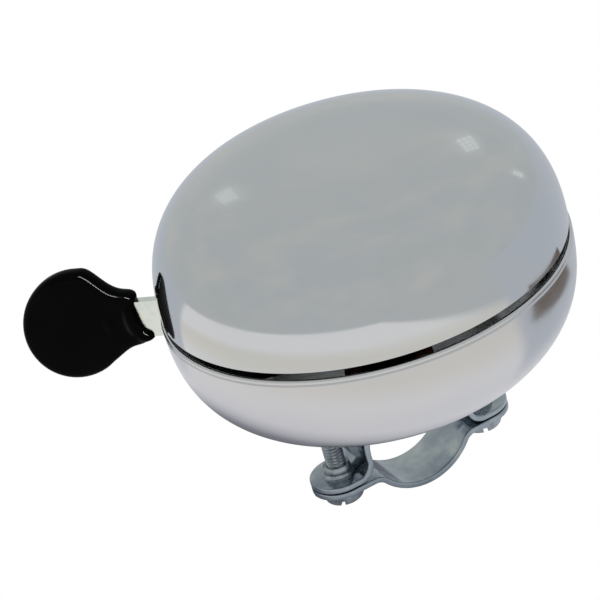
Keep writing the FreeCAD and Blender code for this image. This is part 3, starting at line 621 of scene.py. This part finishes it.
def smooth_outline(points, steps=8):
    """A closed Catmull-Rom curve through the points, with its outward normals."""
    curve = []
    count = len(points)
    for k in range(count):
        before, start, end, after = (Vector(points[(k + i) % count]) for i in (-1, 0, 1, 2))
        for i in range(steps):
            share = i / steps
            curve.append(0.5 * (
                2 * start + (end - before) * share
                + (2 * before - 5 * start + 4 * end - after) * share ** 2
                + (3 * start - before - 3 * end + after) * share ** 3))
    normals = []
    for k, point in enumerate(curve):
        along = (curve[(k + 1) % len(curve)] - curve[k - 1]).normalized()
        normals.append(Vector((-along.y, along.x)))
    return curve, normals


def add_grip():
    """A slab with fully rounded edges, a bead round its neck and a drip, melted into one skin."""
    outline, normals = smooth_outline(grip_outline())
    bm = bmesh.new()
    rings = []
    layers = 12
    for layer in range(layers + 1):
        turn = math.pi * (layer / layers - 0.5)
        thick = math.copysign(COAT_HALF - COAT_ROUND, turn) + COAT_ROUND * math.sin(turn)
        inset = COAT_ROUND * (1 - math.cos(turn))
        ring = []
        for point, normal in zip(outline, normals):
            reach, height = point - normal * inset
            ring.append(bm.verts.new((reach * MM, thick * MM, height * MM)))
        rings.append(ring)
    for lower, upper in zip(rings, rings[1:]):
        join_rings(bm, lower, upper)
    bm.faces.new(rings[0])
    bm.faces.new(rings[-1])
    for centre, radii in GRIP_LUMPS:
        ball(bm, centre, radii)
    mesh = baked(
        finished(bm, "grip_coat"),
        ("REMESH", {"mode": "VOXEL", "voxel_size": COAT_VOXEL}),
        ("SMOOTH", {"factor": 0.6, "iterations": 14}),
    )
    mesh.name = "grip_coat"
    mesh.transform(lever_place())
    new_piece("grip_coat", mesh, "thumb_lever", "dark_vinyl", ["lever_grip"])


# ---- the clamp ----

def half_path(side):
    """Middle line of a clamp half, tab tip to tab tip: (across, up, normal across, normal up).

    The normal points to the bar. side is 1 over the bar and -1 under it."""
    mid_line = TAB_FACES[side] + side * STRAP_THICK / 2
    bend_up = TAB_FACES[side] + side * (STRAP_THICK + BEND_RADIUS)
    reach = BAR_RADIUS + STRAP_THICK + BEND_RADIUS
    bend_across = math.sqrt(reach ** 2 - bend_up ** 2)
    tip = SCREW_OFFSET + STRAP_HALF
    bar_mid = BAR_RADIUS + STRAP_THICK / 2
    bend_mid = BEND_RADIUS + STRAP_THICK / 2
    rows = []
    # the tab's round end is sampled by its angle, so that its outline is smooth
    for i in range(16):
        turn = math.pi / 2 * (1 - i / 16)
        rows.append((SCREW_OFFSET + STRAP_HALF * math.sin(turn), mid_line, 0.0, -side))
    for i in range(5):
        rows.append((SCREW_OFFSET + (bend_across - SCREW_OFFSET) * i / 5, mid_line, 0.0, -side))
    towards_bar = math.atan2(-bend_up, -bend_across)
    start = -side * math.pi / 2
    sweep = (towards_bar - start + math.pi) % (2 * math.pi) - math.pi
    for i in range(9):
        turn = start + sweep * i / 9
        rows.append((bend_across + bend_mid * math.cos(turn), bend_up + bend_mid * math.sin(turn),
                     math.cos(turn), math.sin(turn)))
    first = math.atan2(bend_up, bend_across)
    last = side * math.pi / 2
    steps = 30
    for i in range(steps + 1):
        turn = first + (last - first) * i / steps
        rows.append((bar_mid * math.cos(turn), bar_mid * math.sin(turn), -math.cos(turn), -math.sin(turn)))
    mirrored = [(-a, u, -na, nu) for a, u, na, nu in reversed(rows[:-1])]
    return rows + mirrored


# how far the sheet's edges are rounded
SHEET_EDGE = 0.34 * MM
GROOVE_PLACES = (-3.0 * MM, 0.0, 3.0 * MM)
GROOVE_SPREAD = 0.62 * MM
GROOVE_DEPTH = 0.16 * MM
# half the width of the first and last sections, at the tips of the tabs
TIP_HALF = 0.5 * MM


def half_section(half, groove):
    """One face of a sheet and the edge after it, as (along the bar, offset from the middle)."""
    flat = max(half - SHEET_EDGE, 0.0)
    top = STRAP_THICK / 2
    points = []
    count = 48
    for i in range(count + 1):
        along = flat * (2 * i / count - 1)
        depth = 0.0
        for middle in GROOVE_PLACES:
            depth += groove * math.exp(-((along - middle) / GROOVE_SPREAD) ** 2)
        points.append((along, top - depth))
    turns = [math.pi / 2 * i / 5 for i in range(1, 5)]
    for turn in turns:
        points.append((flat + (half - flat) * math.sin(turn), top - SHEET_EDGE * (1 - math.cos(turn))))
    points += [(half, top - SHEET_EDGE), (half, -top + SHEET_EDGE)]
    for turn in turns:
        points.append((flat + (half - flat) * math.cos(turn), -top + SHEET_EDGE * (1 - math.sin(turn))))
    return points


def section(half, groove):
    """A sheet's section, rounded at its four edges, with grooves of this depth in the face to the bar."""
    return half_section(half, groove) + [(-along, -offset) for along, offset in half_section(half, 0.0)]


def clamp_half(name, side, hole):
    """A bent sheet with round tab ends and two screw holes."""
    bm = bmesh.new()
    rings = []
    for across, up, normal_across, normal_up in half_path(side):
        past = max(0.0, abs(across) - SCREW_OFFSET)
        half = math.sqrt(max(STRAP_HALF ** 2 - past ** 2, TIP_HALF ** 2))
        # the strap's grooves fade out as the section nears the bottom of the bar
        groove = 0.0
        if side < 0 and abs(across) < BAR_RADIUS + STRAP_THICK:
            groove = GROOVE_DEPTH * max(0.0, 1 - abs(up) / BAR_RADIUS / 0.85)
        ring = []
        for along, offset in section(half, groove):
            ring.append(bm.verts.new((along, across + normal_across * offset, up + normal_up * offset)))
        rings.append(ring)
    for lower, upper in zip(rings, rings[1:]):
        join_rings(bm, lower, upper)
    bm.faces.new(rings[0])
    bm.faces.new(rings[-1])
    drills = bmesh.new()
    for along in (-SCREW_OFFSET, SCREW_OFFSET):
        bmesh.ops.create_cone(drills, cap_ends=True, segments=48, radius1=hole, radius2=hole, depth=8 * MM,
                              matrix=Matrix.Translation((0, along, TAB_FACES[side])))
    return cut(finished(bm, name), drills)


STRAP_HOLE = 2.3 * MM
SADDLE_HOLE = 2.05 * MM
# a collar's outside in mm, as (radius, height over the tab): a foot, a fillet, a bead and a lip
COLLAR_FOOT = [(3.35, -0.1), (3.3, 0.12)]
COLLAR_NECK = 2.75
FILLET_FROM = 0.15
FILLET_ACROSS = 0.5
FILLET_UP = 0.75
COLLAR_BEAD = [(2.86, 1.05), (2.88, 1.35), (2.7, 1.5)]
COLLAR_LIP = [(2.66, 2.05), (2.45, 2.3)]


def collar_profile(tab, hole):
    """A collar's closed outline round its hole, as (radius, height)."""
    outside = list(COLLAR_FOOT)
    for i in range(7):
        turn = math.pi / 2 * i / 6
        outside.append((COLLAR_NECK + FILLET_ACROSS * (1 - math.sin(turn)),
                        FILLET_FROM + FILLET_UP * (1 - math.cos(turn))))
    rows = [(radius * MM, tab + height * MM) for radius, height in outside + COLLAR_BEAD + COLLAR_LIP]
    return [(hole, rows[0][1])] + rows + [(hole, rows[-1][1])]


def add_clamp():
    strap = clamp_half("strap_sheet", -1, STRAP_HOLE)
    new_piece("strap_sheet", strap, "clamp_lower", "zinc_plate", ["clamp_strap"], sharp=40)
    saddle = clamp_half("saddle_sheet", 1, SADDLE_HOLE)
    new_piece("saddle_sheet", saddle, "root", "zinc_plate", ["saddle_bracket"], sharp=40)
    hole = SCREW_RADIUS + 0.05 * MM
    profile = collar_profile(TAB_FACES[1] + STRAP_THICK, hole)
    for name, along in (("collar_near", -SCREW_OFFSET), ("collar_far", SCREW_OFFSET)):
        mesh = lathe(name, profile, 48)
        for vert in mesh.vertices:
            # drawn up by a punch, the collar isn't perfectly round
            around = math.atan2(vert.co.y, vert.co.x)
            radius = math.hypot(vert.co.x, vert.co.y)
            if radius > hole + 0.2 * MM:
                swell = 1 + 0.018 * math.sin(3 * around + 1) + 0.012 * math.sin(7 * around)
                vert.co.x *= swell
                vert.co.y *= swell
            vert.co.y += along
        new_piece(name, mesh, "root", "zinc_plate", ["saddle_bracket"], [SCREW_ZINC], sharp=40)


THREAD_PITCH = 0.7 * MM
THREAD_DEPTH = 0.38 * MM
HEAD_RADIUS = screw_high.x
HEAD_HEIGHT = strap_top - STRAP_THICK - screw_low.z
HEAD_ROUND = 0.9 * MM
HEAD_DOME = 0.35 * MM
# the cutter's length, width and height: half of its height is below the head
SLOT_SIZE = (12 * MM, 1.0 * MM, 3.2 * MM)


def screw_mesh(name, slot_angle):
    """A pan-head screw, head down: a helical thread, and a slot across the head."""
    seat = screw_low.z + HEAD_HEIGHT
    tip = screw_high.z
    bm = bmesh.new()
    angles = even_angles(40)
    rings = []
    rows = int((tip - seat) / (THREAD_PITCH / 8))
    for row in range(rows + 1):
        height = seat + (tip - seat) * row / rows
        ring = []
        for angle in angles:
            phase = (height / THREAD_PITCH - angle / (2 * math.pi)) % 1.0
            crest = 1 - abs(2 * phase - 1)
            flank = min(1.0, max(0.0, (crest - 0.15) / 0.6))
            taper = min(0.45 * MM, max(0.0, 0.5 * MM - (tip - height)))
            fade = 0.0 if height < seat + 0.3 * MM else 1.0
            radius = SCREW_RADIUS - taper - THREAD_DEPTH * (1 - flank) * fade
            ring.append(bm.verts.new((radius * math.cos(angle), radius * math.sin(angle), height)))
        rings.append(ring)
    for lower, upper in zip(rings, rings[1:]):
        join_rings(bm, lower, upper)
    bm.faces.new(rings[-1])
    head_rows = [(0.0, screw_low.z), ((HEAD_RADIUS - HEAD_ROUND) * 0.6, screw_low.z + HEAD_DOME * 0.25)]
    for i in range(9):
        turn = math.pi / 2 * i / 8
        head_rows.append((HEAD_RADIUS - HEAD_ROUND * (1 - math.sin(turn)),
                          screw_low.z + HEAD_DOME + HEAD_ROUND * (1 - math.cos(turn))))
    head_rows += [(HEAD_RADIUS, seat - 0.15 * MM), (HEAD_RADIUS - 0.15 * MM, seat)]
    head = turned_rings(bm, head_rows, angles)
    for lower, upper in zip(head, head[1:]):
        join_rings(bm, lower, upper)
    join_rings(bm, head[-1], rings[0])
    cutter = bmesh.new()
    slot = Matrix.Translation((0, 0, screw_low.z)) @ Matrix.Rotation(math.radians(slot_angle), 4, "Z")
    bmesh.ops.create_cube(cutter, size=1.0, matrix=slot @ Matrix.Diagonal((*SLOT_SIZE, 1)))
    return cut(finished(bm, name), cutter)


def add_screws():
    for name, along, slot_angle in (("screw_near", -SCREW_OFFSET, -34), ("screw_far", SCREW_OFFSET, -20)):
        mesh = screw_mesh(name, slot_angle)
        mesh.transform(Matrix.Translation((0, along, 0)))
        new_piece(name, mesh, "clamp_lower", "zinc_plate", ["clamp_screws"], [SCREW_ZINC], sharp=35)


# ---- return spring ----

COIL_RADIUS = 3.9 * MM
WIRE_RADIUS = 0.4 * MM
COIL_TURNS = 2.25
COIL_PITCH = 0.95 * MM
COIL_LOW = 29.4 * MM
SPRING_TURN = math.radians(47.4 + BELL_TURN)


def add_spring():
    """Wire wound round the pivot, with a leg on the anchor post and one along the lever's strip."""
    high = COIL_LOW + COIL_PITCH * COIL_TURNS
    points = [Vector((COIL_RADIUS, -12.0 * MM, COIL_LOW)), Vector((COIL_RADIUS, -6.0 * MM, COIL_LOW))]
    per_turn = 16
    turns = int(COIL_TURNS * per_turn)
    for i in range(turns + 1):
        turn = 2 * math.pi * i / per_turn
        points.append(Vector((COIL_RADIUS * math.cos(turn), COIL_RADIUS * math.sin(turn),
                              COIL_LOW + (high - COIL_LOW) * i / turns)))
    end = 2 * math.pi * COIL_TURNS
    onward = Vector((-math.sin(end), math.cos(end), 0))
    points += [points[-1] + onward * 5.0 * MM, points[-1] + onward * 11.0 * MM]
    data = bpy.data.curves.new("spring_wire", "CURVE")
    data.dimensions = "3D"
    data.bevel_depth = WIRE_RADIUS
    data.bevel_resolution = 4
    data.use_fill_caps = True
    spline = data.splines.new("NURBS")
    spline.points.add(len(points) - 1)
    for point, place in zip(spline.points, points):
        point.co = (*place, 1.0)
    spline.order_u = 3
    spline.use_endpoint_u = True
    item = linked("spring_line", data)
    mesh = bpy.data.meshes.new_from_object(item.evaluated_get(bpy.context.evaluated_depsgraph_get()))
    bpy.data.objects.remove(item)
    mesh.name = "spring_wire"
    # the end caps are welded to the wire
    bm = bmesh.new()
    bm.from_mesh(mesh)
    bmesh.ops.remove_doubles(bm, verts=bm.verts, dist=0.001 * MM)
    bm.to_mesh(mesh)
    bm.free()
    mesh.transform(Matrix.Translation(PIVOT) @ Matrix.Rotation(SPRING_TURN, 4, "Z"))
    piece = new_piece("spring_wire", mesh, None, "spring_steel", ["return_spring"], sharp=50)
    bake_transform(piece)


# ---- stage, lights and camera ----

UNDER_BELL = (-0.025, -0.015)
# the floor's tones in reflections, as (share of the reach, colour), outwards from under the bell: the bell's
# painted shadow, dark under it, fading out to the lit floor
FLOOR_TONE_REACH = 0.20
FLOOR_LIGHT_AND_SHADOW = (
    (0.0, (0.08, 0.085, 0.10)), (0.14, (0.24, 0.25, 0.28)), (0.20, (0.52, 0.53, 0.57)),
    (0.27, (0.74, 0.745, 0.78)), (0.45, (0.81, 0.81, 0.82)), (0.60, (0.77, 0.75, 0.70)),
    (0.78, (0.75, 0.73, 0.685)), (1.0, (0.83, 0.83, 0.83)),
)
ROOM_GREY = (0.545, 0.568, 0.572)
SHADED_SWEEP = (0.545, 0.575, 0.62)
ROOM_TONES = ((0.33, (0.525, 0.552, 0.553)), (0.5, ROOM_GREY), (0.66, (0.585, 0.598, 0.575)))
# the level directions, as (x, y), that the side of the sweep and the lit front of the floor lie in
SWEEP_SIDE = (0.55, 0.83)
LIT_FRONT = (0.688, -0.725)


def math_node(tree, operation, *sources):
    """Each source is a number or a socket."""
    made = tree.nodes.new("ShaderNodeMath")
    made.operation = operation
    for socket, source in zip(made.inputs, sources):
        if isinstance(source, (int, float)):
            socket.default_value = source
        else:
            tree.links.new(source, socket)
    return made.outputs["Value"]


def along_direction(tree, x, y, direction):
    """How far a place lies in a level direction."""
    return math_node(tree, "ADD", math_node(tree, "MULTIPLY", x, direction[0]),
                     math_node(tree, "MULTIPLY", y, direction[1]))


def mixed(tree, share, first, second):
    """A colour mixed between two, each a colour or a socket."""
    made = tree.nodes.new("ShaderNodeMix")
    made.data_type = "RGBA"
    tree.links.new(share, made.inputs["Factor"])
    sockets = [socket for socket in made.inputs if socket.type == "RGBA"]
    for socket, source in zip(sockets, (first, second)):
        if isinstance(source, tuple):
            socket.default_value = (*source, 1.0)
        else:
            tree.links.new(source, socket)
    return [socket for socket in made.outputs if socket.type == "RGBA"][0]


def floor_material():
    """White to the camera. In reflections it is a paper sweep with the bell's shadow painted dark under it,
    that ends in the room.
    """
    material = bpy.data.materials.new("pale_floor")
    material.use_nodes = True
    tree = material.node_tree
    tree.nodes.clear()
    place = tree.nodes.new("ShaderNodeNewGeometry").outputs["Position"]
    split = tree.nodes.new("ShaderNodeSeparateXYZ")
    tree.links.new(place, split.inputs["Vector"])
    x, y = split.outputs["X"], split.outputs["Y"]
    off_x = math_node(tree, "SUBTRACT", x, UNDER_BELL[0])
    off_y = math_node(tree, "SUBTRACT", y, UNDER_BELL[1])
    reach = math_node(tree, "SQRT", along_direction(tree, off_x, off_y, (off_x, off_y)))
    # the bell's painted shadow, and the lit floor round it
    tones = color_ramp(tree, math_node(tree, "DIVIDE", reach, FLOOR_TONE_REACH), FLOOR_LIGHT_AND_SHADOW)
    past_edge = map_range(tree, reach, 0.55, 0.72)
    past_side = map_range(tree, along_direction(tree, x, y, SWEEP_SIDE), 0.11, 0.145)
    near = mixed(tree, math_node(tree, "MAXIMUM", past_edge, past_side), tones, ROOM_GREY)
    # behind the bell the sweep is in shade
    front = along_direction(tree, off_x, off_y, LIT_FRONT)
    sector = math_node(tree, "DIVIDE", front, math_node(tree, "ADD", reach, 0.001))
    turned_away = map_range(tree, sector, 0.04, 0.13, 1.0, 0.0)
    behind = math_node(tree, "MULTIPLY", turned_away, map_range(tree, reach, 0.05, 0.09))
    paper = mixed(tree, behind, near, SHADED_SWEEP)
    seen = tree.nodes.new("ShaderNodeLightPath").outputs["Is Camera Ray"]
    color = mixed(tree, seen, paper, WHITE)
    glow = tree.nodes.new("ShaderNodeEmission")
    tree.links.new(color, glow.inputs["Color"])
    output = tree.nodes.new("ShaderNodeOutputMaterial")
    tree.links.new(glow.outputs["Emission"], output.inputs["Surface"])
    return material


def add_stage():
    floor = linked("floor", card_mesh("floor", 4.0, 4.0, cad_box[0][2] - 0.05 * MM))
    floor.data.materials.append(floor_material())


def only_reflected(item):
    item.visible_camera = False
    item.visible_diffuse = False
    item.visible_shadow = False
    item.visible_transmission = False


def glow_material(name, color, strength, soft=False):
    """A light card. A soft one fades out from its middle."""
    material = bpy.data.materials.new(name)
    material.use_nodes = True
    tree = material.node_tree
    tree.nodes.clear()
    glow = tree.nodes.new("ShaderNodeEmission")
    glow.inputs["Color"].default_value = (*color, 1.0)
    glow.inputs["Strength"].default_value = strength
    output = tree.nodes.new("ShaderNodeOutputMaterial")
    surface = glow.outputs["Emission"]
    if soft:
        place = tree.nodes.new("ShaderNodeTexCoord").outputs["Object"]
        reach = tree.nodes.new("ShaderNodeVectorMath")
        reach.operation = "LENGTH"
        tree.links.new(place, reach.inputs[0])
        share = map_range(tree, reach.outputs["Value"], 0.1, 1.0, 0.55, 0.0)
        blend = tree.nodes.new("ShaderNodeMixShader")
        clear = tree.nodes.new("ShaderNodeBsdfTransparent")
        tree.links.new(share, blend.inputs["Fac"])
        tree.links.new(clear.outputs["BSDF"], blend.inputs[1])
        tree.links.new(surface, blend.inputs[2])
        surface = blend.outputs["Shader"]
    tree.links.new(surface, output.inputs["Surface"])
    return material


def add_window(name, azimuth, elevation, width, height, lean, panes, strength):
    """A paned window and its haze, far off in a direction from the dome. Only reflections show it."""
    far = 1.2
    around = math.radians(azimuth)
    above = math.radians(elevation)
    level = math.cos(above)
    towards = Vector((level * math.cos(around), level * math.sin(around), math.sin(above)))
    at = Vector((0, 0, rim_low.z)) + towards * far
    facing = (-towards).to_track_quat("Z", "Y").to_matrix().to_4x4()
    turn = facing @ Matrix.Rotation(math.radians(lean), 4, "Z")
    across, down = panes
    frame_share = 0.11
    vertices = []
    faces = []
    for i in range(across):
        for j in range(down):
            left = (i - across / 2 + frame_share) * width / across
            right = (i - across / 2 + 1 - frame_share) * width / across
            low = (j - down / 2 + frame_share) * height / down
            high = (j - down / 2 + 1 - frame_share) * height / down
            first = len(vertices)
            vertices += [(left, low, 0), (right, low, 0), (right, high, 0), (left, high, 0)]
            faces.append((first, first + 1, first + 2, first + 3))
    mesh = bpy.data.meshes.new(name)
    mesh.from_pydata(vertices, [], faces)
    mesh.materials.append(glow_material(name, (0.95, 1.0, 1.0), strength))
    window = linked(name, mesh)
    window.matrix_world = Matrix.Translation(at) @ turn
    haze_mesh = card_mesh(name + "_haze", 1, 1)
    haze_mesh.materials.append(glow_material(name + "_haze", (0.97, 1.0, 0.99), 0.72, soft=True))
    haze = linked(name + "_haze", haze_mesh)
    spread = Matrix.Diagonal((width * 1.5, height * 1.3, 1, 1))
    haze.matrix_world = Matrix.Translation(at + towards * 0.02) @ turn @ spread
    for item in (window, haze):
        only_reflected(item)


def add_dark_card():
    """Something dark on the floor beside the bell, which shows only in the bowl."""
    mesh = card_mesh("dark_card", 0.034, 0.017)
    mesh.materials.append(glow_material("dark_card", (0.30, 0.25, 0.21), 0.55))
    card = linked("dark_card", mesh)
    card.location = (0.035, 0.098, cad_box[0][2] + 0.2 * MM)
    card.rotation_euler = (0, 0, math.radians(-20))
    only_reflected(card)


def add_sun(name, towards, power, spread):
    """A soft sun that lights without showing in the chrome."""
    data = bpy.data.lights.new(name, "SUN")
    data.energy = power
    data.angle = math.radians(spread)
    lamp = linked(name, data)
    lamp.rotation_euler = Vector(towards).to_track_quat("Z", "Y").to_euler()
    lamp.visible_glossy = False


def add_strip_lamp(name, target, first, last, far, wide, power, lit):
    """A strip light between two directions from the target. It shows only as a gleam on one piece."""
    ends = [target + Vector(towards).normalized() * far for towards in (first, last)]
    data = bpy.data.lights.new(name, "AREA")
    data.shape = "RECTANGLE"
    data.size = (ends[1] - ends[0]).length
    data.size_y = wide
    data.energy = power
    lamp = linked(name, data)
    middle = (ends[0] + ends[1]) / 2
    back = (middle - target).normalized()
    along = (ends[1] - ends[0]).normalized()
    side = back.cross(along)
    lamp.matrix_world = Matrix.Translation(middle) @ Matrix((along, side, back)).transposed().to_4x4()
    lamp.visible_camera = False
    lamp.visible_diffuse = False
    group = bpy.data.collections.new(name + "_lights")
    group.objects.link(lit)
    lamp.light_linking.receiver_collection = group


def add_world():
    """A soft grey room with faint clouds of light. The camera sees it white."""
    world = bpy.data.worlds.new("room")
    scene.world = world
    world.use_nodes = True
    tree = world.node_tree
    coords = tree.nodes.new("ShaderNodeTexCoord").outputs["Generated"]
    clouds = tree.nodes.new("ShaderNodeTexNoise")
    clouds.inputs["Scale"].default_value = 2.2
    clouds.inputs["Detail"].default_value = 4.0
    clouds.inputs["Roughness"].default_value = 0.55
    tree.links.new(coords, clouds.inputs["Vector"])
    tones = color_ramp(tree, clouds.outputs["Fac"], ROOM_TONES)
    seen = tree.nodes.new("ShaderNodeLightPath").outputs["Is Camera Ray"]
    color = mixed(tree, seen, tones, WHITE)
    background = tree.nodes["Background"]
    tree.links.new(color, background.inputs["Color"])
    background.inputs["Strength"].default_value = 1.0


VIEW_AZIMUTH = 67.3
VIEW_ELEVATION = 27.39
VIEW_DISTANCE = 0.400
VIEW_LENS = 125.54
SENSOR_WIDTH = 36.0
# the camera looks at this point, near the bell's axis and left of it, and leans over
AIM = Vector((-0.00473, -0.01263, 0.03254))
VIEW_LEAN = -15.90


def add_camera():
    data = bpy.data.cameras.new("camera")
    data.lens = VIEW_LENS
    data.sensor_width = SENSOR_WIDTH
    camera = linked("camera", data)
    around = math.radians(VIEW_AZIMUTH)
    above = math.radians(VIEW_ELEVATION)
    flat = VIEW_DISTANCE * math.cos(above)
    height = rim_low.z + VIEW_DISTANCE * math.sin(above)
    at = Vector((flat * math.sin(around), -flat * math.cos(around), height))
    camera.location = at
    look = (AIM - at).to_track_quat("-Z", "Y").to_matrix()
    lean = Matrix.Rotation(math.radians(VIEW_LEAN), 3, "Z")
    camera.rotation_euler = (look @ lean).to_euler()
    scene.camera = camera


scene.view_settings.view_transform = "Standard"
finish_nodes()
add_upper_gong()
add_lower_gong()
add_grip()
add_clamp()
add_screws()
add_spring()
add_stage()
add_world()
add_window("window_left", azimuth=178.0, elevation=31.5, width=0.11, height=0.15,
           lean=20, panes=(4, 4), strength=0.80)
add_window("window_middle", azimuth=126.5, elevation=32.4, width=0.20, height=0.13,
           lean=24, panes=(4, 3), strength=0.82)
add_window("window_right", azimuth=98.5, elevation=15.4, width=0.06, height=0.16,
           lean=0, panes=(2, 3), strength=0.85)
add_dark_card()
add_sun("key", towards=(0.5, -0.8, 1.4), power=1.2, spread=70.0)
grip = bpy.data.objects["grip_coat"]
grip_middle = lever_place() @ (Vector((35.0, 0.0, 33.0)) * MM)
add_strip_lamp("grip_gleam", grip_middle, first=(0.439, -0.580, 0.684), last=(0.946, -0.093, 0.301),
               far=0.5, wide=0.035, power=16.0, lit=grip)
add_camera()
